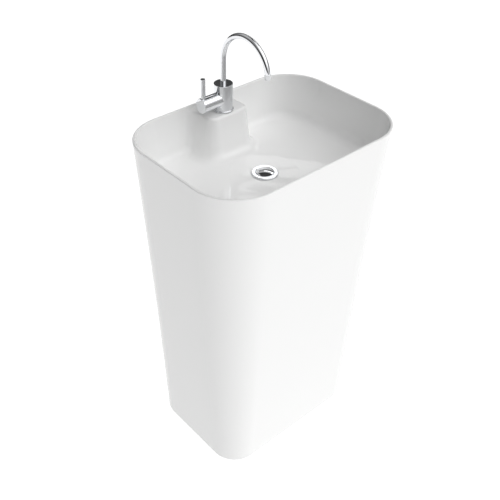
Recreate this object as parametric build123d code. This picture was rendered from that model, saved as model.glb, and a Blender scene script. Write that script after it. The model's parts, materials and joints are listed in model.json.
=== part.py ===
from build123d import *
import math
import os

# Free-standing pedestal handwash sink with a deck-mounted single-lever mixer and a pop-up waste.
# Millimetres. +Z up, origin on the floor under the middle of the pedestal, the user stands at -Y.

# ---- pedestal outline ------------------------------------------------------------------------
HEIGHT = 880.0
TOP_WIDTH = 550.0
TOP_DEPTH = 400.0
TOP_RADIUS = 111.0
BASE_WIDTH = 461.0
BASE_DEPTH = 325.0
BASE_RADIUS = 70.0
WALL_SAG = 0.083            # how much the outer walls bow inwards between floor and rim
RADIUS_SAG = -0.52          # the corner radius grows faster near the floor
SECTIONS = 7                # outline sections that the outer wall is lofted through
SHELL_WALL = 3.2
BOWL_WALL = 3.2
RIM_ROUND = 2.4

# ---- bowl ------------------------------------------------------------------------------------
FLOOR_Z = 767.0             # flat part of the bowl floor, before it dishes to the waste
FLOOR_THICK = 8.0
BOWL_DRAFT = 7.5            # degrees
BOWL_FILLET = 30.0
DISH_RADIUS = 82.0
DISH_DEPTH = 2.5
RIM_BAND = 16.0             # height over which bowl and shell are bonded together
WASTE_Y = -6.0

# ---- tap ledge -------------------------------------------------------------------------------
LEDGE_TOP = 871.0
LEDGE_HALF = 57.0
LEDGE_FRONT = 117.0
LEDGE_CORNER = 20.0
LEDGE_DRAFT = 8.0           # degrees
LEDGE_THICK = 8.0
LEDGE_BEHIND = 60.0         # how far the ledge's cutter runs back through the wall
HOLLOW_BACK = 186.0         # the hollow under the ledge ends here, inside the shell
LEDGE_EDGE = 7.0
LEDGE_WALL_FILLET = 22.0

# ---- service opening in the back -------------------------------------------------------------
OPENING_HALF = 130.0
OPENING_LOW = 120.0
OPENING_HIGH = 600.0
OPENING_CORNER = 24.0
PANEL_GAP = 2.0
PANEL_THICK = 3.2
FRAME_LAP = 24.0            # how far the frame reaches inside the opening's edge
FRAME_THICK = 10.0
SCREW_R = 2.5
SCREW_INSET = 13.0
SCREW_HEAD_R = 5.0
SCREW_HEAD_H = 3.2
SCREW_END = 11.2            # depth of a screw's end behind the panel's face
SCREW_SLOT = 1.1
INSERT_R = 4.5
INSERT_FRONT = 3.8          # depths of an insert's two ends behind the panel's face
INSERT_BACK = 12.2
THREAD_GAP = 0.4            # running room between a screw and its insert

# ---- floor plate and pipe stand --------------------------------------------------------------
PLATE_LOW = 5.0
PLATE_THICK = 15.0
WINDOW_HALF = 75.0
WINDOW_FRONT = -80.0
WINDOW_BACK = 138.0
WINDOW_CORNER = 20.0
ANCHOR_X = 190.0
ANCHOR_Y = 100.0
ANCHOR_R = 5.5
STAND_HALF = 98.0
STAND_TOP = 320.0
STAND_Y = 96.0
STAND_LEG = 20.0            # width of the stand's legs
STAND_FOOT = 32.0           # depth of its feet
FOOT_SCREW_Y = 116.0
FOOT_SCREW_R = 5.0
FOOT_HOLE_R = 3.0
SHEET = 3.0

# ---- mixer tap -------------------------------------------------------------------------------
TAP_Y = 144.0
TAP_R = 22.5
TAP_TOP = 938.0
TAP_HOLE_R = 17.5
BASE_RING_R = 24.5
BASE_RING_H = 3.5
GASKET_H = 1.0
WATERWAY_R = 3.5
TAIL_X = 9.0
TAIL_Y = TAP_Y - 4.0
STUD_Y = TAP_Y + 9.0
STUD_R = 4.0
STUD_DEPTH = 12.0           # how deep the stud and the tails go into the body
TAIL_DEPTH = 8.0
CHAMBER_DEPTH = 17.0        # height of the cross bore above the body's foot
CLAMP_TOP = LEDGE_TOP - LEDGE_THICK
CLAMP_WIDTH = 46.0
CLAMP_GASKET = 3.0
CLAMP_PLATE = 2.5
CLAMP_SLOT = 15.0           # half width of the slot for the tails
GRUB_R = 2.1
GRUB_Z = 921.0

# ---- swivel spout ----------------------------------------------------------------------------
SPOUT_R = 6.75
SPOUT_BORE = 5.5
ARCH_R = 74.5
ARCH_Z = 996.5
ARCH_TURN = 176.0           # degrees from the top of the riser to the outlet
NIPPLE_R = 9.95
NIPPLE_SOCKET_R = 10.0
NIPPLE_LOW = 916.0
TUBE_FOOT = 923.5
ORING_Z = (926.0, 931.0)
ORING_H = 2.0
ORING_GROOVE_R = 8.4
STOP_GROOVE = 1.8           # depth of the part groove for the stop screw
STOP_GROOVE_HALF = 2.5
STOP_CLEAR = 17.0           # degrees of groove past the swing, for the screw's own width
SWIVEL = 60.0               # degrees each way
AERATOR_R = 7.3
SLEEVE_TURN = 7.0           # degrees of the arch under the outlet sleeve
SLEEVE_LIP = 0.8            # degrees that the sleeve reaches past the tube
INSERT_TURN = 2.4           # degrees of the arch that the perforated insert fills
JET_R = 0.9
JET_RING_R = 3.3

# ---- side cartridge and lever ----------------------------------------------------------------
BARREL_Z = 901.0
BARREL_R = 17.75
BALL_X = -30.0              # centre of the lever's tilt, on the barrel's axis
BALL_R = 20.9               # spherical end of the fixed barrel
HANDLE_GAP = 0.4
BARREL_END = -44.5
BORE_R = 14.0
BORE_FOOT = -8.0
HOUSING_R = 13.9
HOUSING_END = -37.0
HOUSING_FOOT = -8.2
MOUTH_R = 9.4
RING_NUT_END = -42.5
RING_NUT_BORE = 9.8
NOTCH_HALF = 1.5
NOTCH_DEPTH = 2.5
HANDLE_END = -68.0
LEVER_X = -60.4
LEVER_R = 5.7
LEVER_TOP = 966.0
STEM_R = 4.0
STEM_END = -55.4            # end of the stem inside the handle
HANDLE_SCREW_X = -53.4
ROTOR_R = 11.0
ROTOR_END = -34.0
ROTOR_FOOT = -19.4          # the moving disc meets the rotor here
ROTOR_GAP = 0.3
SLOT_HALF = 4.4             # the rotor's slot, across and along the stem's tilt
SLOT_HIGH = 6.4
DISC_FACE = -16.0           # the two ceramic discs meet here
DISC_FOOT = -13.0
DISC_GAP = 0.35
PORT_R = 2.4
PORT_RING_R = 6.0
PIN_R = 1.25
PIN_HALF = 10.0
PIN_SEAT = 6.0              # height of the lever pin's foot above the barrel's axis
KEY_R = 1.1                 # key socket in the headless screws
KEY_DEPTH = 3.0

# ---- pop-up waste ----------------------------------------------------------------------------
FLANGE_R = 31.5
WASTE_R = 21.0
WASTE_BORE = 18.0
WASTE_LOW = 694.0
PLUG_R = 21.0
PLUG_STEM_R = 3.0
PLUG_RISE = 3.2
PLUG_EDGE = 1.6             # thickness of the plug at its edge, and of its seal
FLANGE_H = 3.2
SEAT_R = 23.0
SEAT_H = 5.2
WASTE_SEAL_H = 1.0
WASTE_GAP = 0.3
WASHER_H = 4.0
BACK_NUT_H = 10.0
BACK_NUT_ACROSS = 54.0
SPIDER_TOP = 716.0
SPIDER_H = 4.0
SPIDER_ARM = 3.0
SPIDER_HUB_R = 6.0
CLICK_R = 7.0
CLICK_H = 36.0
CLICK_FLOOR = 6.0
STEM_FOOT = 12.0            # height of the stem's end above the spider

# ---- trap and drain --------------------------------------------------------------------------
DRAIN_R = 16.0
DRAIN_BORE = 14.5
TRAP_R = 30.0
TRAP_TOP = 640.0
TRAP_LOW = 545.0
TRAP_OUT_Z = 612.0
TRAP_WALL = 3.0
TRAP_JOINT = 38.0           # the cup meets the body this far above the trap's bottom
TRAP_NECK = 12.0
CUP_FLOOR = 5.0
CUP_GRIP = 30.0             # heights of the cup's grip ring above the trap's bottom
CUP_GRIP_TOP = 48.0
DIP_DEPTH = 18.0
COLLAR_H = 3.0
FLUTE_R = 2.2
DRAIN_Y = 75.0
DRAIN_END = 60.0
DRAIN_BEND = 23.0
OUTLET_Y = 46.0
STOP_BEAD_Z = 100.0
STOP_BEAD = 2.0             # how far the bead stands out

# ---- water supply ----------------------------------------------------------------------------
TAIL_R = 5.0
PIPE_R = 7.5
PIPE_X = 60.0
PIPE_Y = 120.0
PIPE_END = 66.0
PIPE_WALL = 0.7
ADAPTER_R = 10.45           # half-inch pipe thread
ADAPTER_END = 45.0
CLIP_Z = 300.0
VALVE_LOW = 420.0
VALVE_HIGH = 470.0
VALVE_R = 12.0
VALVE_BALL_R = 8.1
VALVE_HALF = 15.0
VALVE_NECK_R = 9.5
VALVE_BORE_R = 4.9
VALVE_SEAT_GAP = 0.4
VALVE_BALL_BORE = 4.0
BOSS_R = 6.0
BOSS_Y = 137.0
SPINDLE_R = 3.0
SPINDLE_Y = 143.0
SPINDLE_FIT = 0.05
LEVER_FRONT = 137.6
LEVER_SHEET = 3.0
LEVER_EYE_R = 8.0
LEVER_HALF = 5.5
LEVER_LEN = 46.0
TAIL_WALL = 0.8
TAIL_BEND = 45.0
TAIL_STRAIGHT = 690.0       # the tail leaves the vertical here, and meets the pipe's line lower
TAIL_JOIN = 590.0
TAIL_SEAT = 6.0             # how far tail and pipe ends sit in their fittings
CLIP_HALF = 7.0
CLIP_WALL = 2.5

OVER = 1.0                  # how far a cutter runs past the face that it cuts
NUT_ROUND = 1.0
FLOOR_AT_WASTE = FLOOR_Z - DISH_DEPTH
BALL = Vector(BALL_X, TAP_Y, BARREL_Z)


# ---- small helpers ---------------------------------------------------------------------------
def rod(axis, radius, low, high, a=0.0, b=0.0):
    """Cylinder along an axis from low to high; a and b are its other two coordinates."""
    middle = (low + high) / 2
    body = Cylinder(radius, high - low)
    if axis == "x":
        return Pos(middle, a, b) * Rot(0, 90, 0) * body
    if axis == "y":
        return Pos(a, middle, b) * Rot(90, 0, 0) * body
    return Pos(a, b, middle) * body


def tube(axis, outer, inner, low, high, a=0.0, b=0.0):
    """Hollow cylinder along an axis."""
    return rod(axis, outer, low, high, a, b) - rod(axis, inner, low - OVER, high + OVER, a, b)


def block(x0, x1, y0, y1, z0, z1):
    """Box between two corners."""
    return Pos((x0 + x1) / 2, (y0 + y1) / 2, (z0 + z1) / 2) * Box(x1 - x0, y1 - y0, z1 - z0)


def slab(z0, z1):
    """Layer between two heights, wider than the whole pedestal."""
    return block(-TOP_WIDTH, TOP_WIDTH, -TOP_DEPTH, TOP_DEPTH, z0, z1)


def round_edges(shape):
    return shape.edges().filter_by(GeomType.CIRCLE)


def hex_nut(across, bore, low, high, x, y):
    """Hexagonal nut on a vertical axis with its corners rounded off at both ends."""
    radius = across / 2 / math.cos(math.pi / 6)
    prism = Pos(x, y, low) * extrude(RegularPolygon(radius, 6), high - low)
    turned = rod("z", radius, low, high, x, y)
    turned = fillet(round_edges(turned), NUT_ROUND)
    return (prism & turned) - rod("z", bore, low - OVER, high + OVER, x, y)


def rounded_block(half_x, y0, y1, z0, z1, radius):
    """Upright plate facing Y, with rounded corners in the XZ plane."""
    face = Plane.XZ * RectangleRounded(2 * half_x, z1 - z0, radius)
    return Pos(0, y1, (z0 + z1) / 2) * extrude(face, y1 - y0)


def polar(radius, degrees):
    """X and Y of a point on a circle."""
    angle = math.radians(degrees)
    return radius * math.cos(angle), radius * math.sin(angle)


def group(shapes):
    """One node made of several separate solids."""
    return Compound([solid for shape in shapes for solid in shape.solids()])


# ---- outline of the pedestal -----------------------------------------------------------------
def growth(t):
    return (1 - WALL_SAG) * t + WALL_SAG * t * t


def outline(z, inset):
    """Width, depth and corner radius of the outer wall at a height, drawn in by an inset."""
    t = z / HEIGHT
    width = BASE_WIDTH + (TOP_WIDTH - BASE_WIDTH) * growth(t)
    depth = BASE_DEPTH + (TOP_DEPTH - BASE_DEPTH) * growth(t)
    corner = (1 - RADIUS_SAG) * t + RADIUS_SAG * t * t
    radius = BASE_RADIUS + (TOP_RADIUS - BASE_RADIUS) * corner
    return width - 2 * inset, depth - 2 * inset, radius - inset


def pedestal_solid(inset):
    """The whole volume inside the outer wall, drawn in by an inset."""
    faces = []
    for i in range(SECTIONS):
        z = HEIGHT * i / (SECTIONS - 1)
        faces.append(Pos(0, 0, z) * RectangleRounded(*outline(z, inset)))
    return loft(faces)


def back_y(z):
    return outline(z, 0)[1] / 2


def top_prism(inset, z_low, draft):
    """Drafted prism that hangs from the rim."""
    face = Pos(0, 0, HEIGHT) * RectangleRounded(*outline(HEIGHT, inset))
    return extrude(face, HEIGHT - z_low, dir=(0, 0, -1), taper=draft)


def ledge_prism(shrink, z_top, z_low):
    """The block under the tap, wider towards the bowl floor; it runs back through the wall."""
    depth = TOP_DEPTH / 2 - LEDGE_FRONT + LEDGE_BEHIND
    face = RectangleRounded(2 * (LEDGE_HALF - shrink), depth, LEDGE_CORNER - shrink / 2)
    face = Pos(0, LEDGE_FRONT + shrink + depth / 2, z_top) * face
    return extrude(face, z_top - z_low, dir=(0, 0, -1), taper=-LEDGE_DRAFT)


# ---- pedestal, bowl and service panel --------------------------------------------------------
def on_level(shape, z, tolerance=0.05):
    """Edges whose centre lies on one height."""
    return [edge for edge in shape.edges() if abs(edge.center().Z - z) < tolerance]


def make_shell():
    """Outer skin: tapered wall, open below and above, with the service opening in its back."""
    skin = pedestal_solid(0)
    skin = fillet(on_level(skin, HEIGHT), RIM_ROUND)
    skin -= pedestal_solid(SHELL_WALL)
    return skin - opening_block(0)


def opening_block(grow):
    """Cutter for the service opening, larger by an amount on every side."""
    half = OPENING_HALF + grow
    low = OPENING_LOW - grow
    high = OPENING_HIGH + grow
    corner = max(OPENING_CORNER + grow, 2 * PANEL_THICK)
    return rounded_block(half, BASE_DEPTH / 4, TOP_DEPTH, low, high, corner)


def make_panel():
    """Lift-off cover: the piece of skin missing from the opening, less a gap all round."""
    skin = pedestal_solid(0) - pedestal_solid(PANEL_THICK)
    panel = skin & opening_block(-PANEL_GAP)
    for x, z in screw_places():
        panel -= screw_rod(SCREW_R + ROTOR_GAP, x, z, -INSERT_FRONT - OVER, PANEL_THICK)
    return panel


def make_opening_frame():
    """Band bonded inside the skin round the opening; the panel's screws go into it."""
    band = pedestal_solid(SHELL_WALL) - pedestal_solid(SHELL_WALL + FRAME_THICK)
    frame = (band & opening_block(FRAME_LAP)) - opening_block(-FRAME_LAP)
    for x, z in screw_places():
        frame -= screw_rod(INSERT_R, x, z, -INSERT_BACK - 4 * OVER, PANEL_THICK)
    return frame


def screw_places():
    """X and Z of the four corner screws."""
    x = OPENING_HALF - PANEL_GAP - SCREW_INSET
    low = OPENING_LOW + PANEL_GAP + SCREW_INSET
    high = OPENING_HIGH - PANEL_GAP - SCREW_INSET
    return [(-x, low), (x, low), (-x, high), (x, high)]


def back_tilt():
    """Angle between the back wall and the vertical, at the panel's middle."""
    low, high = OPENING_LOW, OPENING_HIGH
    return math.degrees(math.atan2(back_y(high) - back_y(low), high - low))


def screw_rod(radius, x, z, inner, outer):
    """Cylinder square to the back wall, from a depth inside its face to a height outside it."""
    middle = (inner + outer) / 2
    place = Pos(x, back_y(z), z) * Rot(-back_tilt(), 0, 0)
    return place * Pos(0, middle, 0) * Rot(90, 0, 0) * Cylinder(radius, outer - inner)


def make_panel_screws():
    """Pan-head screws with a cross recess."""
    screws = []
    for x, z in screw_places():
        head = screw_rod(SCREW_HEAD_R, x, z, 0.25, SCREW_HEAD_H)
        head = fillet(round_edges(head).sort_by(Axis.Y)[-1:], SCREW_SLOT)
        slot = Pos(x, back_y(z), z) * Rot(-back_tilt(), 0, 0)
        cross = Box(SCREW_SLOT, SCREW_R, SCREW_HEAD_R) + Box(SCREW_HEAD_R, SCREW_R, SCREW_SLOT)
        head -= slot * Pos(0, SCREW_HEAD_H, 0) * cross
        screws.append(head + screw_rod(SCREW_R, x, z, -SCREW_END, 0.5))
    return group(screws)


def make_panel_inserts():
    """Threaded inserts in the frame, with running room round the screws."""
    inserts = []
    for x, z in screw_places():
        outer = screw_rod(INSERT_R, x, z, -INSERT_BACK, -INSERT_FRONT)
        inserts.append(outer - screw_rod(SCREW_R + THREAD_GAP, x, z, -INSERT_BACK - OVER, 0))
    return group(inserts)


def bowl_space():
    """The water side of the bowl, as a solid."""
    space = top_prism(SHELL_WALL + BOWL_WALL, FLOOR_Z, BOWL_DRAFT)
    space -= ledge_prism(0, LEDGE_TOP, FLOOR_Z - BOWL_FILLET)
    middle = (LEDGE_TOP + FLOOR_Z) / 2
    upright = [edge for edge in space.edges().filter_by(GeomType.LINE)
               if abs(edge.center().Z - middle) < 2 and edge.center().Y > TAP_Y + TAP_R]
    space = fillet(upright, LEDGE_WALL_FILLET)
    space = fillet(on_level(space, FLOOR_Z), BOWL_FILLET)
    space = fillet(on_level(space, LEDGE_TOP), LEDGE_EDGE)
    dish_r = (DISH_RADIUS ** 2 + DISH_DEPTH ** 2) / (2 * DISH_DEPTH)
    dish = Pos(0, WASTE_Y, FLOOR_AT_WASTE + dish_r) * Sphere(dish_r)
    reach = 2 * DISH_RADIUS
    return space + (dish & block(-reach, reach, -reach, reach, FLOOR_AT_WASTE - OVER, FLOOR_Z + 0.01))


def make_bowl():
    """Inner skin: drafted bowl with the tap ledge, hung from the rim."""
    low = FLOOR_AT_WASTE - FLOOR_THICK
    skin = top_prism(SHELL_WALL, low, BOWL_DRAFT)
    skin = fillet(on_level(skin, low), BOWL_FILLET)
    band = pedestal_solid(SHELL_WALL) & slab(HEIGHT - RIM_BAND, HEIGHT)
    bowl = skin + band - bowl_space()
    bowl -= ledge_prism(LEDGE_THICK, LEDGE_TOP - LEDGE_THICK, low - BOWL_FILLET) & ledge_limit()
    inner = [edge for edge in on_level(bowl, HEIGHT) if is_inner_rim(edge)]
    bowl = fillet(inner, RIM_ROUND)
    bowl -= rod("z", WASTE_R + OVER, low - OVER, FLOOR_Z + OVER, 0, WASTE_Y)
    bowl -= rod("z", FLANGE_R + OVER, FLOOR_AT_WASTE, FLOOR_Z + OVER, 0, WASTE_Y)
    return bowl - rod("z", TAP_HOLE_R, CLAMP_TOP - OVER, LEDGE_TOP + OVER, 0, TAP_Y)


def ledge_limit():
    """Keeps the hollow of the ledge off the rim band and the bowl's back wall."""
    return block(-TOP_WIDTH / 2, TOP_WIDTH / 2, 0, HOLLOW_BACK, WASTE_LOW, HEIGHT)


def is_inner_rim(edge):
    """True for the edges of the bowl's mouth on the rim's top face."""
    width, depth, _ = outline(HEIGHT, SHELL_WALL + BOWL_WALL / 2)
    box = edge.bounding_box()
    return max(abs(box.min.X), abs(box.max.X)) < width / 2 and \
        max(abs(box.min.Y), abs(box.max.Y)) < depth / 2


def make_base_plate():
    """Floor plate bonded inside the foot of the skin, with a cut-out for the pipes."""
    high = PLATE_LOW + PLATE_THICK
    plate = pedestal_solid(SHELL_WALL) & slab(PLATE_LOW, high)
    window = RectangleRounded(2 * WINDOW_HALF, WINDOW_BACK - WINDOW_FRONT, WINDOW_CORNER)
    plate -= Pos(0, (WINDOW_BACK + WINDOW_FRONT) / 2, 0) * extrude(window, high + OVER)
    for x in (-ANCHOR_X, ANCHOR_X):
        for y in (-ANCHOR_Y, ANCHOR_Y):
            plate -= rod("z", ANCHOR_R, 0, high + OVER, x, y)
    return plate


def make_pipe_stand():
    """Folded sheet goalpost on the floor plate that carries the pipe clips."""
    foot = PLATE_LOW + PLATE_THICK
    back = STAND_Y + SHEET
    stand = block(-STAND_HALF, STAND_HALF, STAND_Y, back, CLIP_Z - STAND_LEG, STAND_TOP)
    for side in (-1, 1):
        inner, outer = sorted((side * (STAND_HALF - STAND_LEG), side * STAND_HALF))
        stand += block(inner, outer, STAND_Y, back, foot, STAND_TOP)
        stand += block(inner, outer, STAND_Y, STAND_Y + STAND_FOOT, foot, foot + SHEET)
        stand -= rod("z", FOOT_HOLE_R, foot - OVER, back, (inner + outer) / 2, FOOT_SCREW_Y)
    return stand


def make_stand_screws():
    """Round-headed screws through the stand's feet."""
    low = PLATE_LOW + PLATE_THICK + SHEET
    screws = []
    for side in (-1, 1):
        head = rod("z", FOOT_SCREW_R, low, low + SHEET, side * (STAND_HALF - STAND_LEG / 2), FOOT_SCREW_Y)
        screws.append(fillet(round_edges(head).sort_by(Axis.Z)[-1:], SHEET / 2))
    return group(screws)


def make_clip(x, y, radius, leg_y):
    """Ring round a pipe on a short leg that reaches to the stand."""
    low, high = CLIP_Z - CLIP_HALF, CLIP_Z + CLIP_HALF
    ring = tube("z", radius + CLIP_WALL, radius, low, high, x, y)
    near = y + (radius + OVER) * (1 if leg_y > y else -1)
    y0, y1 = sorted((near, leg_y))
    half = radius / 2 + OVER
    return ring + block(x - half, x + half, y0, y1, low, high)


def make_pipe_clips():
    """Clips that hold both supplies and the drain to the stand."""
    clips = [make_clip(side * PIPE_X, PIPE_Y, PIPE_R, STAND_Y + SHEET) for side in (-1, 1)]
    clips.append(make_clip(0, DRAIN_Y, DRAIN_R, STAND_Y))
    return group(clips)


# ---- tap body and its fixing -----------------------------------------------------------------
def body_foot():
    return LEDGE_TOP + GASKET_H + BASE_RING_H


def make_tap_gasket():
    outer = BASE_RING_R - GASKET_H
    return tube("z", outer, TAP_HOLE_R, LEDGE_TOP, LEDGE_TOP + GASKET_H, 0, TAP_Y)


def make_base_ring():
    """Polished ring between the tap's body and the ledge."""
    low = LEDGE_TOP + GASKET_H
    ring = rod("z", BASE_RING_R, low, body_foot(), 0, TAP_Y)
    ring = fillet(round_edges(ring).sort_by(Axis.Z)[-1:], BASE_RING_H / 2)
    return ring - rod("z", TAP_HOLE_R - GASKET_H / 2, low - OVER, body_foot() + OVER, 0, TAP_Y)


def fixed_barrel():
    """Side barrel of the body, ending in a part sphere that the handle slides over."""
    barrel = rod("x", BARREL_R, BARREL_END, 0, TAP_Y, BARREL_Z)
    reach = 2 * BALL_R
    straight = block(BALL_X, reach, TAP_Y - reach, TAP_Y + reach, BARREL_Z - reach, BARREL_Z + reach)
    return barrel & (Pos(*BALL) * Sphere(BALL_R) + straight)


def make_tap_body():
    """Body casting: spout socket on top, cartridge bore to the side, waterways between."""
    foot = body_foot()
    chamber = foot + CHAMBER_DEPTH
    outlet_z = BARREL_Z + 2 * STEM_R
    body = rod("z", TAP_R, foot, TAP_TOP, 0, TAP_Y)
    body = fillet(round_edges(body).sort_by(Axis.Z)[-1:], 0.7)
    body += fixed_barrel()
    body -= rod("x", BORE_R, BARREL_END - OVER, BORE_FOOT, TAP_Y, BARREL_Z)
    body -= rod("z", NIPPLE_SOCKET_R, NIPPLE_LOW, TAP_TOP + OVER, 0, TAP_Y)
    for x in (-TAIL_X, TAIL_X):
        body -= rod("z", TAIL_R, foot - OVER, foot + TAIL_DEPTH, x, TAIL_Y)
        body -= rod("z", WATERWAY_R, foot, chamber, x, TAIL_Y)
    body -= rod("x", WATERWAY_R, -TAIL_X, TAIL_X, TAIL_Y, chamber)
    body -= rod("x", WATERWAY_R, BORE_FOOT - OVER, 0, TAP_Y, outlet_z)
    body -= rod("z", WATERWAY_R, outlet_z, NIPPLE_LOW + OVER, 0, TAP_Y)
    body -= rod("z", STUD_R, foot - OVER, foot + STUD_DEPTH, 0, STUD_Y)
    return body - rod("y", GRUB_R, TAP_Y + NIPPLE_R / 2, TAP_Y + TAP_R + OVER, 0, GRUB_Z)


def make_tap_stud():
    return rod("z", STUD_R, CLAMP_TOP - STAND_FOOT, body_foot() + STUD_DEPTH, 0, STUD_Y)


def clamp_sheet(low, high, grow):
    """Plate under the ledge with a slot for the tails and a hole for the stud."""
    plate = RectangleRounded(CLAMP_WIDTH + grow, CLAMP_WIDTH, TAIL_R)
    plate = Pos(0, TAP_Y + 6, low) * extrude(plate, high - low)
    slot_back = TAIL_Y + TAIL_R + 1.5
    plate -= block(-CLAMP_SLOT, CLAMP_SLOT, 0, slot_back, low - OVER, high + OVER)
    return plate - rod("z", STUD_R + THREAD_GAP, low - OVER, high + OVER, 0, STUD_Y)


def make_clamp_nut():
    high = CLAMP_TOP - CLAMP_GASKET - CLAMP_PLATE
    return hex_nut(13, STUD_R, high - 2 * STUD_R, high, 0, STUD_Y)


# ---- cartridge and lever ---------------------------------------------------------------------
def port_holes(low, high):
    """Three water ports through a disc of the cartridge."""
    holes = []
    for turn in (90, 210, 330):
        y, z = polar(PORT_RING_R, turn)
        holes.append(rod("x", PORT_R, low, high, TAP_Y + y, BARREL_Z + z))
    return holes


def make_cartridge_housing():
    """Cup with the fixed disc on its floor, room for the rotor, and a mouth for the stem."""
    housing = rod("x", HOUSING_R, HOUSING_END, HOUSING_FOOT, TAP_Y, BARREL_Z)
    housing -= rod("x", ROTOR_R + THREAD_GAP, ROTOR_END - ROTOR_GAP, DISC_FOOT, TAP_Y, BARREL_Z)
    housing -= rod("x", MOUTH_R, HOUSING_END - OVER, BALL_X, TAP_Y, BARREL_Z)
    for hole in port_holes(DISC_FOOT - OVER, HOUSING_FOOT + OVER):
        housing -= hole
    return housing


def make_fixed_disc():
    disc = rod("x", ROTOR_R + ROTOR_GAP, DISC_FACE, DISC_FOOT, TAP_Y, BARREL_Z)
    for hole in port_holes(DISC_FACE - OVER, DISC_FOOT + OVER):
        disc -= hole
    return disc


def make_moving_disc():
    """Disc with a recess in its face that joins the ports under it."""
    face = DISC_FACE - DISC_GAP
    disc = rod("x", ROTOR_R, ROTOR_FOOT, face, TAP_Y, BARREL_Z)
    return disc - rod("x", ROTOR_R / 2, face - 1.25, face + OVER, TAP_Y, BARREL_Z + 2)


def make_rotor():
    """Turns for the temperature and carries the pin that the stem tilts on."""
    rotor = rod("x", ROTOR_R, ROTOR_END, ROTOR_FOOT, TAP_Y, BARREL_Z)
    y0, y1 = TAP_Y - SLOT_HALF, TAP_Y + SLOT_HALF
    z0, z1 = BARREL_Z - SLOT_HIGH, BARREL_Z + SLOT_HIGH
    rotor -= block(ROTOR_END - OVER, 2 * BALL_X - ROTOR_END + OVER, y0, y1, z0, z1)
    return rotor - rotor_cross_rod(PIN_R)


def rotor_cross_rod(radius):
    """Cylinder across the rotor through the centre of the tilt."""
    return rod("y", radius, TAP_Y - PIN_HALF, TAP_Y + PIN_HALF, BALL_X, BARREL_Z)


def make_cartridge_nut():
    """Ring nut with two spanner notches that holds the cartridge in its bore."""
    nut = tube("x", BORE_R, RING_NUT_BORE, RING_NUT_END, HOUSING_END, TAP_Y, BARREL_Z)
    y0, y1 = TAP_Y - NOTCH_HALF, TAP_Y + NOTCH_HALF
    for z in (BARREL_Z - BORE_R, BARREL_Z + BORE_R):
        low, high = z - NOTCH_DEPTH, z + NOTCH_DEPTH
        nut -= block(RING_NUT_END - OVER, RING_NUT_END + 2 * OVER, y0, y1, low, high)
    return nut


def make_lever_stem():
    stem = rod("x", STEM_R, STEM_END, BALL_X + 3, TAP_Y, BARREL_Z)
    return stem - rotor_cross_rod(PIN_R + SPINDLE_FIT)


def make_handle():
    """Round handle cap with a part-spherical mouth, bored for the stem, lever and screw."""
    cap = rod("x", BARREL_R, HANDLE_END, BALL_X, TAP_Y, BARREL_Z)
    cap = fillet(round_edges(cap).sort_by(Axis.X)[:1], 1.0)
    cap -= Pos(*BALL) * Sphere(BALL_R + HANDLE_GAP)
    cap -= rod("x", STEM_R, STEM_END, BALL_X, TAP_Y, BARREL_Z)
    cap -= rod("z", LEVER_R, BARREL_Z + PIN_SEAT, LEVER_TOP, LEVER_X, TAP_Y)
    return cap - rod("z", GRUB_R, BARREL_Z - BALL_R, BARREL_Z - STEM_R, HANDLE_SCREW_X, TAP_Y)


def make_lever_pin():
    pin = rod("z", LEVER_R, BARREL_Z + PIN_SEAT, LEVER_TOP, LEVER_X, TAP_Y)
    return fillet(round_edges(pin).sort_by(Axis.Z)[-1:], 0.6)


def make_handle_screw():
    """Headless screw in the underside of the handle, hollow for a key."""
    low = BARREL_Z - BARREL_R + 1.5
    screw = rod("z", GRUB_R, low, BARREL_Z - STEM_R, HANDLE_SCREW_X, TAP_Y)
    return screw - rod("z", KEY_R, low - OVER, low + KEY_DEPTH, HANDLE_SCREW_X, TAP_Y)


# ---- swivel spout ----------------------------------------------------------------------------
def on_arch(turn):
    """Place on the spout's line at an angle round the arch, with Z along the line."""
    return Pos(0, TAP_Y - ARCH_R, ARCH_Z) * Rot(turn, 0, 0) * Pos(0, ARCH_R, 0)


def bend(radius, start, end):
    """Solid bar along the arch between two angles."""
    axis = Axis((0, TAP_Y - ARCH_R, ARCH_Z), (1, 0, 0))
    return revolve(on_arch(start) * Circle(radius), axis, end - start)


def spout_bar(radius, foot, turn):
    """Solid bar along the spout's line: up the riser and round the arch."""
    return bend(radius, 0, turn) + rod("z", radius, foot, ARCH_Z, 0, TAP_Y)


def make_spout_tube():
    bore = spout_bar(SPOUT_BORE, TUBE_FOOT - OVER, ARCH_TURN + OVER)
    return spout_bar(SPOUT_R, TUBE_FOOT, ARCH_TURN) - bore


def make_spout_nipple():
    """Swivel foot with two ring grooves and a part groove that limits the swing."""
    foot = rod("z", NIPPLE_R, NIPPLE_LOW + HANDLE_GAP, TAP_TOP, 0, TAP_Y)
    foot -= rod("z", SPOUT_BORE, NIPPLE_LOW, TAP_TOP + OVER, 0, TAP_Y)
    foot -= rod("z", SPOUT_R, TUBE_FOOT, TAP_TOP + OVER, 0, TAP_Y)
    for z in ORING_Z:
        foot -= tube("z", NIPPLE_R + OVER, ORING_GROOVE_R, z, z + ORING_H, 0, TAP_Y)
    low, high = GRUB_Z - STOP_GROOVE_HALF, GRUB_Z + STOP_GROOVE_HALF
    groove = tube("z", NIPPLE_R + OVER, NIPPLE_R - STOP_GROOVE, low, high, 0, TAP_Y)
    reach = 3 * NIPPLE_R
    edge_y, edge_x = polar(reach, SWIVEL + STOP_CLEAR)
    corners = ((0, 0), (edge_x, edge_y), (reach, reach), (-reach, reach), (-edge_x, edge_y))
    sector = make_face(Polyline(*corners, close=True))
    sector = Pos(0, TAP_Y, low - OVER) * extrude(sector, high - low + 2 * OVER)
    return foot - (groove & sector)


def make_spout_rings():
    """Rubber rings in the grooves of the swivel foot."""
    rings = [tube("z", NIPPLE_R, ORING_GROOVE_R, z, z + ORING_H, 0, TAP_Y) for z in ORING_Z]
    return group(rings)


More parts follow.
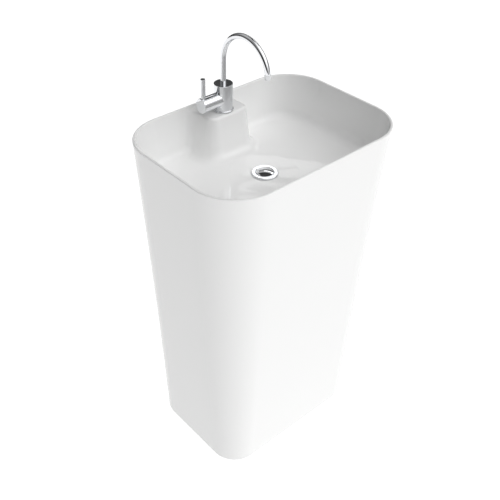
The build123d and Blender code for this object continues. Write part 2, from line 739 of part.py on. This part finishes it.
def make_spout_screw():
    """Screw in the back of the body; its tip stands in the part groove."""
    tip = TAP_Y + NIPPLE_R - 1.2
    end = TAP_Y + TAP_R - 2
    screw = rod("y", GRUB_R, tip, end, 0, GRUB_Z)
    return screw - rod("y", KEY_R, end - KEY_DEPTH, end + OVER, 0, GRUB_Z)


def make_aerator_housing():
    """Sleeve over the end of the spout, following its curve, with a lip round the mouth."""
    end = ARCH_TURN + SLEEVE_LIP
    sleeve = bend(AERATOR_R, ARCH_TURN - SLEEVE_TURN, end)
    sleeve -= bend(SPOUT_R, ARCH_TURN - SLEEVE_TURN - OVER, ARCH_TURN)
    return sleeve - bend(SPOUT_BORE, ARCH_TURN - OVER, end + OVER)


def make_aerator_insert():
    """Perforated plug in the mouth of the spout."""
    insert = bend(SPOUT_BORE, ARCH_TURN - INSERT_TURN, ARCH_TURN + SLEEVE_LIP / 2)
    jets = [(0.0, 0.0)] + [polar(JET_RING_R, 60 * i) for i in range(6)]
    for x, y in jets:
        insert -= on_arch(ARCH_TURN) * Pos(x, y, 0) * Cylinder(JET_R, 6 * INSERT_TURN)
    return insert


# ---- pop-up waste ----------------------------------------------------------------------------
def make_waste_body():
    """Flanged and threaded waste with a coned seat for the plug."""
    low = FLOOR_AT_WASTE + WASTE_SEAL_H
    flange = rod("z", FLANGE_R, low, low + FLANGE_H, 0, WASTE_Y)
    flange = fillet(round_edges(flange).sort_by(Axis.Z)[-1:], 2.0)
    body = flange + rod("z", WASTE_R, WASTE_LOW, low + OVER, 0, WASTE_Y)
    body -= rod("z", WASTE_BORE, WASTE_LOW - OVER, low + FLANGE_H + OVER, 0, WASTE_Y)
    seat = Cone(WASTE_BORE, SEAT_R, SEAT_H)
    return body - Pos(0, WASTE_Y, low + FLANGE_H - SEAT_H / 2) * seat


def make_waste_seal():
    low, inner = FLOOR_AT_WASTE, WASTE_R + WASTE_GAP
    return tube("z", FLANGE_R - 1.5, inner, low, low + WASTE_SEAL_H, 0, WASTE_Y)


def make_under_washer():
    high = FLOOR_AT_WASTE - FLOOR_THICK
    return tube("z", FLANGE_R, WASTE_R + WASTE_GAP, high - WASHER_H, high, 0, WASTE_Y)


def make_back_nut():
    high = FLOOR_AT_WASTE - FLOOR_THICK - WASHER_H
    return hex_nut(BACK_NUT_ACROSS, WASTE_R, high - BACK_NUT_H, high, 0, WASTE_Y)


def make_waste_spider():
    """Cross inside the waste that carries the plug's click mechanism."""
    low = SPIDER_TOP - SPIDER_H
    spider = tube("z", WASTE_BORE, WASTE_BORE - 2, low, SPIDER_TOP, 0, WASTE_Y)
    for turn in (0, 90):
        arm = Box(2 * WASTE_BORE - 2, SPIDER_ARM, SPIDER_H)
        spider += Pos(0, WASTE_Y, (low + SPIDER_TOP) / 2) * Rot(0, 0, turn) * arm
    return spider + rod("z", SPIDER_HUB_R, low, SPIDER_TOP, 0, WASTE_Y)


def make_click_housing():
    """Guide that holds the plug's stem down until it is pushed again."""
    high = SPIDER_TOP + CLICK_H
    housing = rod("z", CLICK_R, SPIDER_TOP, high, 0, WASTE_Y)
    bore = PLUG_STEM_R + WASTE_GAP
    return housing - rod("z", bore, SPIDER_TOP + CLICK_FLOOR, high + OVER, 0, WASTE_Y)


def plug_edge_z():
    """Height of the plug's edge while it is closed, level with the flange."""
    return FLOOR_AT_WASTE + WASTE_SEAL_H + FLANGE_H


def make_plug():
    """Domed cap."""
    edge = plug_edge_z()
    ball = (PLUG_R ** 2 + PLUG_RISE ** 2) / (2 * PLUG_RISE)
    dome = Pos(0, WASTE_Y, edge + PLUG_RISE - ball) * Sphere(ball)
    dome = dome & rod("z", PLUG_R, edge - PLUG_EDGE, edge + 2 * PLUG_RISE, 0, WASTE_Y)
    rim = [e for e in round_edges(dome) if abs(e.center().Z - edge) < 0.1]
    return fillet(rim, 0.5)


def make_plug_seal():
    high = plug_edge_z() - PLUG_EDGE
    return tube("z", PLUG_R - 2.2, PLUG_STEM_R, high - PLUG_EDGE, high, 0, WASTE_Y)


def make_plug_stem():
    return rod("z", PLUG_STEM_R, SPIDER_TOP + STEM_FOOT, plug_edge_z() - PLUG_EDGE, 0, WASTE_Y)


# ---- trap and drain --------------------------------------------------------------------------
def make_inlet_tube():
    """Dip tube from the waste into the trap, with a collar under the union nut."""
    solid = rod("z", DRAIN_R, TRAP_LOW + DIP_DEPTH, WASTE_LOW, 0, WASTE_Y)
    solid += rod("z", WASTE_R - THREAD_GAP, WASTE_LOW - COLLAR_H, WASTE_LOW, 0, WASTE_Y)
    return solid - rod("z", DRAIN_BORE, TRAP_LOW, WASTE_LOW + OVER, 0, WASTE_Y)


def fluted(axis, outer, low, high, a, b, count):
    """Round nut blank with grip flutes."""
    blank = rod(axis, outer, low, high, a, b)
    for i in range(count):
        u, v = polar(outer + 1, 360 * i / count)
        blank -= rod(axis, FLUTE_R, low - OVER, high + OVER, a + u, b + v)
    return blank


def make_union_nut():
    """Nut that draws the dip tube's collar up against the waste."""
    low, high = WASTE_LOW - 8, WASTE_LOW + 14
    nut = fluted("z", WASTE_R + 5, low, high, 0, WASTE_Y, 16)
    nut -= rod("z", WASTE_R, WASTE_LOW - COLLAR_H, high + OVER, 0, WASTE_Y)
    return nut - rod("z", DRAIN_R + 0.1, low - OVER, WASTE_LOW, 0, WASTE_Y)


def make_trap_body():
    """Upper half of the bottle trap with its inlet neck and side outlet."""
    neck_top = TRAP_TOP + TRAP_NECK
    body = rod("z", TRAP_R, TRAP_LOW + TRAP_JOINT, TRAP_TOP, 0, WASTE_Y)
    body = fillet(round_edges(body).sort_by(Axis.Z)[-1:], 4)
    body += rod("z", DRAIN_R + 4, TRAP_TOP - OVER, neck_top, 0, WASTE_Y)
    body += rod("y", DRAIN_R + TRAP_WALL, WASTE_Y, OUTLET_Y, 0, TRAP_OUT_Z)
    body -= rod("z", TRAP_R - TRAP_WALL, TRAP_LOW, TRAP_TOP - 4, 0, WASTE_Y)
    body -= rod("z", DRAIN_R, TRAP_TOP - 10, neck_top + OVER, 0, WASTE_Y)
    inside = WASTE_Y + TRAP_R - 2 * TRAP_WALL
    return body - rod("y", DRAIN_R, inside, OUTLET_Y + OVER, 0, TRAP_OUT_Z)


def make_trap_nut():
    """Compression nut round the dip tube."""
    low, high = TRAP_TOP + 2, TRAP_TOP + 18
    nut = fluted("z", DRAIN_R + 9, low, high, 0, WASTE_Y, 16)
    nut -= rod("z", DRAIN_R + 4, low - OVER, TRAP_TOP + TRAP_NECK, 0, WASTE_Y)
    return nut - rod("z", DRAIN_R, low, high + OVER, 0, WASTE_Y)


def make_trap_cup():
    """Screw-off cup that closes the trap below."""
    grip, grip_top = TRAP_LOW + CUP_GRIP, TRAP_LOW + CUP_GRIP_TOP
    joint = TRAP_LOW + TRAP_JOINT
    cup = fluted("z", TRAP_R + 4, grip, grip_top, 0, WASTE_Y, 20)
    lower = rod("z", TRAP_R, TRAP_LOW, grip + OVER, 0, WASTE_Y)
    cup += fillet(round_edges(lower).sort_by(Axis.Z)[:1], 6)
    cup -= rod("z", TRAP_R - TRAP_WALL, TRAP_LOW + CUP_FLOOR, joint + OVER, 0, WASTE_Y)
    return cup - rod("z", TRAP_R, joint, grip_top + OVER, 0, WASTE_Y)


def make_outlet_nut():
    """Compression nut between the trap's outlet and the drain."""
    low, high = OUTLET_Y - 8, OUTLET_Y + 5
    nut = fluted("y", DRAIN_R + 8, low, high, 0, TRAP_OUT_Z, 16)
    nut -= rod("y", DRAIN_R + TRAP_WALL, low - OVER, OUTLET_Y, 0, TRAP_OUT_Z)
    return nut - rod("y", DRAIN_R, OUTLET_Y - OVER, high + OVER, 0, TRAP_OUT_Z)


def drain_bar(radius, start, end):
    """Solid bar along the drain's line: out of the trap, round the bend and down."""
    bend_y = DRAIN_Y - DRAIN_BEND
    face = Plane.XZ * Circle(radius)
    face = Pos(0, bend_y, TRAP_OUT_Z) * face
    axis = Axis((0, bend_y, TRAP_OUT_Z - DRAIN_BEND), (-1, 0, 0))
    bar = revolve(face, axis, 90) + rod("y", radius, start, bend_y, 0, TRAP_OUT_Z)
    return bar + rod("z", radius, end, TRAP_OUT_Z - DRAIN_BEND, 0, DRAIN_Y)


def make_drain_pipe():
    """Drain with a stop bead above its free end."""
    inside = OUTLET_Y - 12
    pipe = drain_bar(DRAIN_R, inside, DRAIN_END)
    bead_top = STOP_BEAD_Z + COLLAR_H
    pipe += rod("z", DRAIN_R + STOP_BEAD, STOP_BEAD_Z, bead_top, 0, DRAIN_Y)
    return pipe - drain_bar(DRAIN_BORE, inside - OVER, DRAIN_END - OVER)


# ---- water supply, once for each side --------------------------------------------------------
def make_tail(side):
    """Rigid copper tail from the tap's body down to its valve."""
    points = [
        (side * TAIL_X, TAIL_Y, body_foot() + TAIL_DEPTH),
        (side * TAIL_X, TAIL_Y, TAIL_STRAIGHT),
        (side * PIPE_X, PIPE_Y, TAIL_JOIN),
        (side * PIPE_X, PIPE_Y, VALVE_HIGH - TAIL_SEAT),
    ]
    path = FilletPolyline(*points, radius=TAIL_BEND)
    start = Plane(origin=points[0], z_dir=(0, 0, -1))
    bore = sweep(start * Circle(TAIL_R - TAIL_WALL), path)
    return sweep(start * Circle(TAIL_R), path) - bore


def valve_place(side):
    """X of a valve and its middle height."""
    return side * PIPE_X, (VALVE_LOW + VALVE_HIGH) / 2


def make_valve_body(side):
    """Ball valve body with a neck at each end and a boss for the spindle."""
    x, middle = valve_place(side)
    body = rod("z", VALVE_R, middle - VALVE_HALF, middle + VALVE_HALF, x, PIPE_Y)
    body = fillet(round_edges(body), 1.5)
    body += rod("z", VALVE_NECK_R, VALVE_LOW, VALVE_HIGH, x, PIPE_Y)
    body += rod("y", BOSS_R, PIPE_Y + BOSS_R, BOSS_Y, x, middle)
    body -= rod("z", VALVE_BORE_R, VALVE_LOW - OVER, VALVE_HIGH + OVER, x, PIPE_Y)
    body -= rod("z", TAIL_R, VALVE_HIGH - TAIL_SEAT, VALVE_HIGH + OVER, x, PIPE_Y)
    body -= Pos(x, PIPE_Y, middle) * Sphere(VALVE_BALL_R + VALVE_SEAT_GAP)
    return body - rod("y", SPINDLE_R + SPINDLE_FIT, PIPE_Y, BOSS_Y + OVER, x, middle)


def make_valve_ball(side):
    """Bored ball and its spindle."""
    x, middle = valve_place(side)
    ball = Pos(x, PIPE_Y, middle) * Sphere(VALVE_BALL_R)
    ball -= rod("z", VALVE_BALL_BORE, VALVE_LOW, VALVE_HIGH, x, PIPE_Y)
    return ball + rod("y", SPINDLE_R, PIPE_Y + 2 * SPINDLE_R, SPINDLE_Y, x, middle)


def make_valve_lever(side):
    """Flat quarter-turn lever that hangs in line with the pipe while the valve is open."""
    x, middle = valve_place(side)
    near, far = LEVER_FRONT, LEVER_FRONT + LEVER_SHEET
    tip = middle - LEVER_LEN + LEVER_HALF
    lever = rod("y", LEVER_EYE_R, near, far, x, middle)
    lever += block(x - LEVER_HALF, x + LEVER_HALF, near, far, tip, middle)
    lever += rod("y", LEVER_HALF, near, far, x, tip)
    return lever - rod("y", SPINDLE_R, near - OVER, far + OVER, x, middle)


def make_supply_pipe(side):
    return tube("z", PIPE_R, PIPE_R - PIPE_WALL, PIPE_END, VALVE_LOW, side * PIPE_X, PIPE_Y)


def make_inlet_adapter(side):
    """Hexagon on the pipe's end with a male thread below it."""
    x = side * PIPE_X
    seat = PIPE_END - TAIL_SEAT
    bore = PIPE_R - 2 * PIPE_WALL
    adapter = hex_nut(24, PIPE_R, seat, PIPE_END + TAIL_DEPTH, x, PIPE_Y)
    adapter += tube("z", ADAPTER_R, bore, ADAPTER_END, seat, x, PIPE_Y)
    return adapter + tube("z", PIPE_R + OVER, bore, seat, PIPE_END, x, PIPE_Y)


def make_nuts(across, bore, low, high):
    """The same hexagonal nut on both supplies."""
    return group([hex_nut(across, bore, low, high, side * PIPE_X, PIPE_Y) for side in (-1, 1)])


# ---- assembly --------------------------------------------------------------------------------
def build_nodes():
    plate_low = CLAMP_TOP - CLAMP_GASKET - CLAMP_PLATE
    nodes = {
        "pedestal_shell": make_shell(),
        "basin_bowl": make_bowl(),
        "opening_frame": make_opening_frame(),
        "access_panel": make_panel(),
        "panel_screws": make_panel_screws(),
        "panel_inserts": make_panel_inserts(),
        "base_plate": make_base_plate(),
        "pipe_stand": make_pipe_stand(),
        "stand_screws": make_stand_screws(),
        "pipe_clips": make_pipe_clips(),
        "tap_body": make_tap_body(),
        "tap_base_ring": make_base_ring(),
        "tap_gasket": make_tap_gasket(),
        "tap_stud": make_tap_stud(),
        "clamp_gasket": clamp_sheet(CLAMP_TOP - CLAMP_GASKET, CLAMP_TOP, 2),
        "clamp_plate": clamp_sheet(plate_low, CLAMP_TOP - CLAMP_GASKET, 0),
        "clamp_nut": make_clamp_nut(),
        "cartridge_housing": make_cartridge_housing(),
        "ceramic_disc_fixed": make_fixed_disc(),
        "ceramic_disc_moving": make_moving_disc(),
        "cartridge_rotor": make_rotor(),
        "rotor_pin": rotor_cross_rod(PIN_R),
        "cartridge_nut": make_cartridge_nut(),
        "lever_stem": make_lever_stem(),
        "lever_handle": make_handle(),
        "lever_pin": make_lever_pin(),
        "handle_grub_screw": make_handle_screw(),
        "spout_tube": make_spout_tube(),
        "spout_nipple": make_spout_nipple(),
        "spout_o_rings": make_spout_rings(),
        "spout_grub_screw": make_spout_screw(),
        "aerator_housing": make_aerator_housing(),
        "aerator_insert": make_aerator_insert(),
        "waste_body": make_waste_body(),
        "waste_seal": make_waste_seal(),
        "waste_under_washer": make_under_washer(),
        "waste_back_nut": make_back_nut(),
        "waste_spider": make_waste_spider(),
        "plug_click_housing": make_click_housing(),
        "plug_dome": make_plug(),
        "plug_seal": make_plug_seal(),
        "plug_stem": make_plug_stem(),
        "trap_union_nut": make_union_nut(),
        "trap_inlet_tube": make_inlet_tube(),
        "trap_body": make_trap_body(),
        "trap_top_nut": make_trap_nut(),
        "trap_cup": make_trap_cup(),
        "trap_outlet_nut": make_outlet_nut(),
        "drain_pipe": make_drain_pipe(),
        "tail_nuts": make_nuts(19, TAIL_R, VALVE_HIGH, VALVE_HIGH + 12),
        "supply_pipes": group([make_supply_pipe(-1), make_supply_pipe(1)]),
        "inlet_adapters": group([make_inlet_adapter(-1), make_inlet_adapter(1)]),
    }
    for name, side in (("hot", -1), ("cold", 1)):
        nodes[name + "_tail"] = make_tail(side)
        nodes[name + "_valve_body"] = make_valve_body(side)
        nodes[name + "_valve_ball"] = make_valve_ball(side)
        nodes[name + "_valve_lever"] = make_valve_lever(side)
    return nodes


def main():
    os.makedirs("parts", exist_ok=True)
    for name, shape in build_nodes().items():
        export_step(shape, "parts/" + name + ".step")


if __name__ == "__main__":
    main()
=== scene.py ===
import json
import math

import bpy
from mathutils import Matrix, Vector


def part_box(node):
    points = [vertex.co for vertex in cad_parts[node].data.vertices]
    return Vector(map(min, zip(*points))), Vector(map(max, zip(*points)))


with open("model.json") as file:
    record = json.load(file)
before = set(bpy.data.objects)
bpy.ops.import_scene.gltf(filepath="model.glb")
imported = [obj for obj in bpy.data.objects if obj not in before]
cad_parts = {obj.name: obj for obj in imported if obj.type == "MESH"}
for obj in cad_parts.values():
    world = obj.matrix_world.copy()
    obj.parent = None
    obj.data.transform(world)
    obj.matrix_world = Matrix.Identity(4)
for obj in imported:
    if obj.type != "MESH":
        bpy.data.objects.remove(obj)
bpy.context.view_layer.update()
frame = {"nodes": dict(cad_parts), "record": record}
scene = bpy.context.scene
scene.view_settings.view_transform = "Standard"

RIM_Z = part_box("pedestal_shell")[1].z


# ---- camera: the same view as the photograph ---------------------------------------------------
AZIMUTH = math.radians(-40.24)
ELEVATION = math.radians(38.24)
DISTANCE = 2.3283 * RIM_Z
AIM = Vector((0.0093 * RIM_Z, 0.1675 * RIM_Z, 0.5 * RIM_Z))
LENS_MM = 54.0
SENSOR_MM = 36.0
SHIFT_X = 0.0499


def add_camera():
    data = bpy.data.cameras.new("camera")
    data.lens = LENS_MM
    data.sensor_width = SENSOR_MM
    data.shift_x = SHIFT_X
    back = Vector((math.sin(AZIMUTH) * math.cos(ELEVATION),
                   -math.cos(AZIMUTH) * math.cos(ELEVATION),
                   math.sin(ELEVATION)))
    camera = bpy.data.objects.new("camera", data)
    camera.location = AIM + back * DISTANCE
    camera.rotation_euler = (-back).to_track_quat("-Z", "Y").to_euler()
    scene.collection.objects.link(camera)
    scene.camera = camera


add_camera()


# ---- light and floor ---------------------------------------------------------------------------
# Bearings are in degrees from +Y towards +X. All the light comes from the world, by direction.
SOFT_LIGHTS = [
    # bearing and elevation of its middle, glow
    (175.0, 18.0, 0.57),
    (172.0, 53.0, 1.46),
    (15.0, 52.0, 0.47),
    (95.0, 50.0, 0.42),
    (300.0, 62.0, 0.24),
]
SOFT_EDGE = (0.6, 1.0)      # cosines of the angles where a soft light ends and is brightest
ROOM_GLOW = 0.05            # glow that comes from every direction
WINDOWS = [
    # bearing of its middle, half its width, sines of its lowest and highest elevation, glow,
    # panes across and up
    (56.0, 15.0, 0.516, 0.60, 1.50, (3, 2)),
    (69.0, 6.0, 0.595, 0.66, 2.5, (1, 1)),
    (46.5, 3.2, 0.478, 0.495, 1.2, (1, 1)),
    (110.0, 22.0, 0.66, 0.76, 2.4, (2, 2)),
    (124.0, 22.0, 0.49, 0.57, 2.4, (2, 2)),
]
DARK_PARTS = [
    # the same, with the part of the soft light that it takes away in place of a glow: the room's
    # far end behind the object, and the ceiling that the chrome plug reflects
    (40.0, 30.0, -0.10, 0.46, 0.80, (1, 1)),
    (48.0, 26.0, 0.68, 0.97, 0.92, (1, 1)),
]
BACKDROP = 1.25             # glow that the camera sees behind the floor's edge
EDGE = 0.006                # softness of the windows' edges
BAR = 0.05                  # width of a window's bars, as a part of a pane
FLOOR_HALF = 14.0           # half the width of the floor
FLOOR_DROP = 0.0005         # the floor lies this far under the object's foot
FLOOR_GREY = 0.15
FLOOR_ROUGHNESS = 0.9
FLOOR_GLOW = 1.0            # keeps the floor white whatever light falls on it


def math_node(tree, operation, first, second=0.0):
    """One sum on values or on the outputs of other nodes."""
    node = tree.nodes.new("ShaderNodeMath")
    node.operation = operation
    for socket, value in zip(node.inputs, (first, second)):
        if isinstance(value, (int, float)):
            socket.default_value = value
        else:
            tree.links.new(value, socket)
    return node.outputs[0]


def dot(tree, coords, direction):
    """Length of the view direction along another direction."""
    node = tree.nodes.new("ShaderNodeVectorMath")
    node.operation = "DOT_PRODUCT"
    node.inputs[1].default_value = direction
    tree.links.new(coords, node.inputs[0])
    return node.outputs["Value"]


def ramp(tree, value, start, end, low, high):
    """Smooth step of a value, from low at start to high at end."""
    node = tree.nodes.new("ShaderNodeMapRange")
    node.interpolation_type = "SMOOTHSTEP"
    node.inputs["From Min"].default_value = start
    node.inputs["From Max"].default_value = end
    node.inputs["To Min"].default_value = low
    node.inputs["To Max"].default_value = high
    tree.links.new(value, node.inputs["Value"])
    return node.outputs["Result"]


def soft_light(tree, coords, bearing, elevation, glow):
    """Glow of one round soft light as seen from the object, falling off towards its edge."""
    turn, rise = math.radians(bearing), math.radians(elevation)
    level = math.cos(rise)
    direction = (math.sin(turn) * level, math.cos(turn) * level, math.sin(rise))
    return ramp(tree, dot(tree, coords, direction), *SOFT_EDGE, 0.0, glow)


def panes(tree, place, count):
    """One between the bars of a row of panes and nought on them; place runs from -1 to 1."""
    along = math_node(tree, "MULTIPLY", math_node(tree, "ADD", place, 1.0), count / 2)
    off_middle = math_node(tree, "ABSOLUTE", math_node(tree, "SUBTRACT",
                           math_node(tree, "FRACT", along), 0.5))
    return ramp(tree, off_middle, 0.5 - 1.5 * BAR, 0.5 - BAR / 2, 1.0, 0.0)


def window(tree, coords, bearing, half, low, high, glow, grid):
    """Glow of a window with crisp edges and bars; a dark part is the same with one pane."""
    turn = math.radians(bearing)
    ahead = dot(tree, coords, (math.sin(turn), math.cos(turn), 0.0))
    aside = dot(tree, coords, (math.cos(turn), -math.sin(turn), 0.0))
    across = math_node(tree, "DIVIDE", math_node(tree, "ARCTAN2", aside, ahead), math.radians(half))
    height = dot(tree, coords, (0.0, 0.0, 2 / (high - low)))
    height = math_node(tree, "SUBTRACT", height, (high + low) / (high - low))
    result = glow
    sides = ((across, math.radians(half), grid[0]), (height, (high - low) / 2, grid[1]))
    for place, size, count in sides:
        soft = EDGE / size
        inside = ramp(tree, math_node(tree, "ABSOLUTE", place), 1 - soft, 1 + soft, 1.0, 0.0)
        result = math_node(tree, "MULTIPLY", inside, result)
        if count > 1:
            result = math_node(tree, "MULTIPLY", panes(tree, place, count), result)
    return result


def add_world():
    """A dim room with wide soft lights above and in front of the object, and a few windows."""
    world = bpy.data.worlds.new("studio")
    world.use_nodes = True
    scene.world = world
    tree = world.node_tree
    tree.nodes.clear()
    coords = tree.nodes.new("ShaderNodeTexCoord").outputs["Generated"]
    background = tree.nodes.new("ShaderNodeBackground")
    output = tree.nodes.new("ShaderNodeOutputWorld")
    total = ROOM_GLOW
    for light in SOFT_LIGHTS:
        total = math_node(tree, "ADD", soft_light(tree, coords, *light), total)
    for part in DARK_PARTS:
        left = math_node(tree, "SUBTRACT", 1.0, window(tree, coords, *part))
        total = math_node(tree, "MULTIPLY", total, left)
    for light in WINDOWS:
        total = math_node(tree, "ADD", window(tree, coords, *light), total)
    # the camera sees plain white there, and the object is still lit by the total
    seen = tree.nodes.new("ShaderNodeLightPath").outputs["Is Camera Ray"]
    backdrop = math_node(tree, "MULTIPLY", seen, BACKDROP)
    total = math_node(tree, "MAXIMUM", backdrop, total)
    tree.links.new(total, background.inputs["Strength"])
    tree.links.new(background.outputs["Background"], output.inputs["Surface"])


add_world()


def add_floor():
    """A plain white floor that reaches past the view."""
    signs = ((-1, -1), (1, -1), (1, 1), (-1, 1))
    corners = [(x * FLOOR_HALF, y * FLOOR_HALF, -FLOOR_DROP) for x, y in signs]
    mesh = bpy.data.meshes.new("floor")
    mesh.from_pydata(corners, [], [(0, 1, 2, 3)])
    floor = bpy.data.objects.new("floor", mesh)
    scene.collection.objects.link(floor)
    material = bpy.data.materials.new("floor_white")
    material.use_nodes = True
    tree = material.node_tree
    shader = tree.nodes["Principled BSDF"]
    shader.inputs["Base Color"].default_value = (FLOOR_GREY, FLOOR_GREY, FLOOR_GREY, 1)
    shader.inputs["Roughness"].default_value = FLOOR_ROUGHNESS
    shader.inputs["Specular IOR Level"].default_value = 0.0
    shader.inputs["Emission Color"].default_value = (1, 1, 1, 1)
    shader.inputs["Emission Strength"].default_value = FLOOR_GLOW
    mesh.materials.append(material)


add_floor()


# ---- materials ---------------------------------------------------------------------------------
NOISE_MIDDLE = (0.3, 0.7)   # most of a noise texture's values lie between these
GEL_COAT_IOR = 1.5
PLASTIC_GRAIN = 0.3         # strength of the fine grain on plastics


def new_material(name, colour, roughness, metallic=0.0):
    material = bpy.data.materials.new(name)
    material.use_nodes = True
    shader = material.node_tree.nodes["Principled BSDF"]
    shader.inputs["Base Color"].default_value = (*colour, 1)
    shader.inputs["Roughness"].default_value = roughness
    shader.inputs["Metallic"].default_value = metallic
    return material, material.node_tree, shader


def noise(tree, scale, detail=3.0, stretch=(1, 1, 1)):
    coords = tree.nodes.new("ShaderNodeTexCoord")
    mapping = tree.nodes.new("ShaderNodeMapping")
    mapping.inputs["Scale"].default_value = stretch
    texture = tree.nodes.new("ShaderNodeTexNoise")
    texture.inputs["Scale"].default_value = scale
    texture.inputs["Detail"].default_value = detail
    tree.links.new(coords.outputs["Object"], mapping.inputs["Vector"])
    tree.links.new(mapping.outputs["Vector"], texture.inputs["Vector"])
    return texture.outputs["Fac"]


def vary_colour(tree, shader, factor, low, high):
    mix = tree.nodes.new("ShaderNodeMix")
    mix.data_type = "RGBA"
    mix.inputs["A"].default_value = (*low, 1)
    mix.inputs["B"].default_value = (*high, 1)
    tree.links.new(factor, mix.inputs["Factor"])
    tree.links.new(mix.outputs["Result"], shader.inputs["Base Color"])


def vary_roughness(tree, shader, factor, low, high):
    span = tree.nodes.new("ShaderNodeMapRange")
    span.inputs["From Min"].default_value = NOISE_MIDDLE[0]
    span.inputs["From Max"].default_value = NOISE_MIDDLE[1]
    span.inputs["To Min"].default_value = low
    span.inputs["To Max"].default_value = high
    tree.links.new(factor, span.inputs["Value"])
    tree.links.new(span.outputs["Result"], shader.inputs["Roughness"])


def bump(tree, shader, factor, strength, distance):
    node = tree.nodes.new("ShaderNodeBump")
    node.inputs["Strength"].default_value = strength
    node.inputs["Distance"].default_value = distance
    tree.links.new(factor, node.inputs["Height"])
    tree.links.new(node.outputs["Normal"], shader.inputs["Normal"])


def gloss_white():
    """Gel coat of the pedestal and the bowl."""
    material, tree, shader = new_material("gloss_white", (0.88, 0.88, 0.875), 0.06)
    shader.inputs["IOR"].default_value = GEL_COAT_IOR
    vary_colour(tree, shader, noise(tree, 6, 2), (0.952, 0.954, 0.950), (0.960, 0.961, 0.958))
    vary_roughness(tree, shader, noise(tree, 40, 4), 0.012, 0.025)
    bump(tree, shader, noise(tree, 7, 1), 0.006, 0.001)
    return material


def metal(name, low, high, rough_low, rough_high, scale=60, stretch=(1, 1, 1)):
    material, tree, shader = new_material(name, low, rough_low, 1.0)
    vary_colour(tree, shader, noise(tree, scale, 3, stretch), low, high)
    vary_roughness(tree, shader, noise(tree, scale * 3, 4, stretch), rough_low, rough_high)
    return material


def plastic(name, low, high, rough_low, rough_high, grain=900, depth=0.00005):
    material, tree, shader = new_material(name, low, rough_low)
    vary_colour(tree, shader, noise(tree, 30, 3), low, high)
    vary_roughness(tree, shader, noise(tree, 120, 4), rough_low, rough_high)
    bump(tree, shader, noise(tree, grain, 2), PLASTIC_GRAIN, depth)
    return material


MATERIALS = {
    "gloss_white": gloss_white(),
    "frame_white": plastic("frame_white", (0.74, 0.74, 0.72), (0.8, 0.8, 0.79), 0.45, 0.6),
    "chrome": metal("chrome", (0.80, 0.81, 0.83), (0.84, 0.85, 0.87), 0.02, 0.05),
    "satin_chrome": metal("satin_chrome", (0.60, 0.61, 0.62), (0.68, 0.69, 0.70), 0.08, 0.16),
    "stainless": metal("stainless", (0.55, 0.55, 0.54), (0.66, 0.66, 0.65), 0.2, 0.34),
    "galvanised": metal("galvanised", (0.42, 0.44, 0.46), (0.62, 0.64, 0.66), 0.32, 0.5, 35),
    "brass": metal("brass", (0.62, 0.44, 0.18), (0.72, 0.54, 0.26), 0.16, 0.32),
    "copper": metal("copper", (0.72, 0.34, 0.2), (0.8, 0.44, 0.29), 0.18, 0.36),
    "black_rubber": plastic("black_rubber", (0.018, 0.018, 0.018), (0.03, 0.03, 0.03), 0.6, 0.8),
    "grey_plastic": plastic("grey_plastic", (0.26, 0.27, 0.28), (0.32, 0.33, 0.34), 0.35, 0.5),
    "white_plastic": plastic("white_plastic", (0.74, 0.74, 0.72), (0.82, 0.82, 0.8), 0.3, 0.42),
    "grey_board": plastic("grey_board", (0.16, 0.165, 0.17), (0.22, 0.225, 0.23), 0.6, 0.8, 300, 0.0002),
    "ceramic": plastic("ceramic", (0.7, 0.66, 0.6), (0.78, 0.75, 0.7), 0.2, 0.3),
    "red_lever": plastic("red_lever", (0.42, 0.012, 0.01), (0.5, 0.02, 0.015), 0.2, 0.3, 400),
    "blue_lever": plastic("blue_lever", (0.01, 0.04, 0.32), (0.015, 0.06, 0.4), 0.2, 0.3, 400),
}

SLOT_OF = {part["node"]: part["material_slot"] for part in frame["record"]["subparts"]}
OWN_FINISH = {"aerator_housing": "satin_chrome"}    # duller than the chrome of its slot


def paint_cad_nodes():
    """Give each CAD node the material of its slot, or its own finish."""
    for name, node in frame["nodes"].items():
        node.data.materials.clear()
        node.data.materials.append(MATERIALS[OWN_FINISH.get(name, SLOT_OF[name])])


paint_cad_nodes()
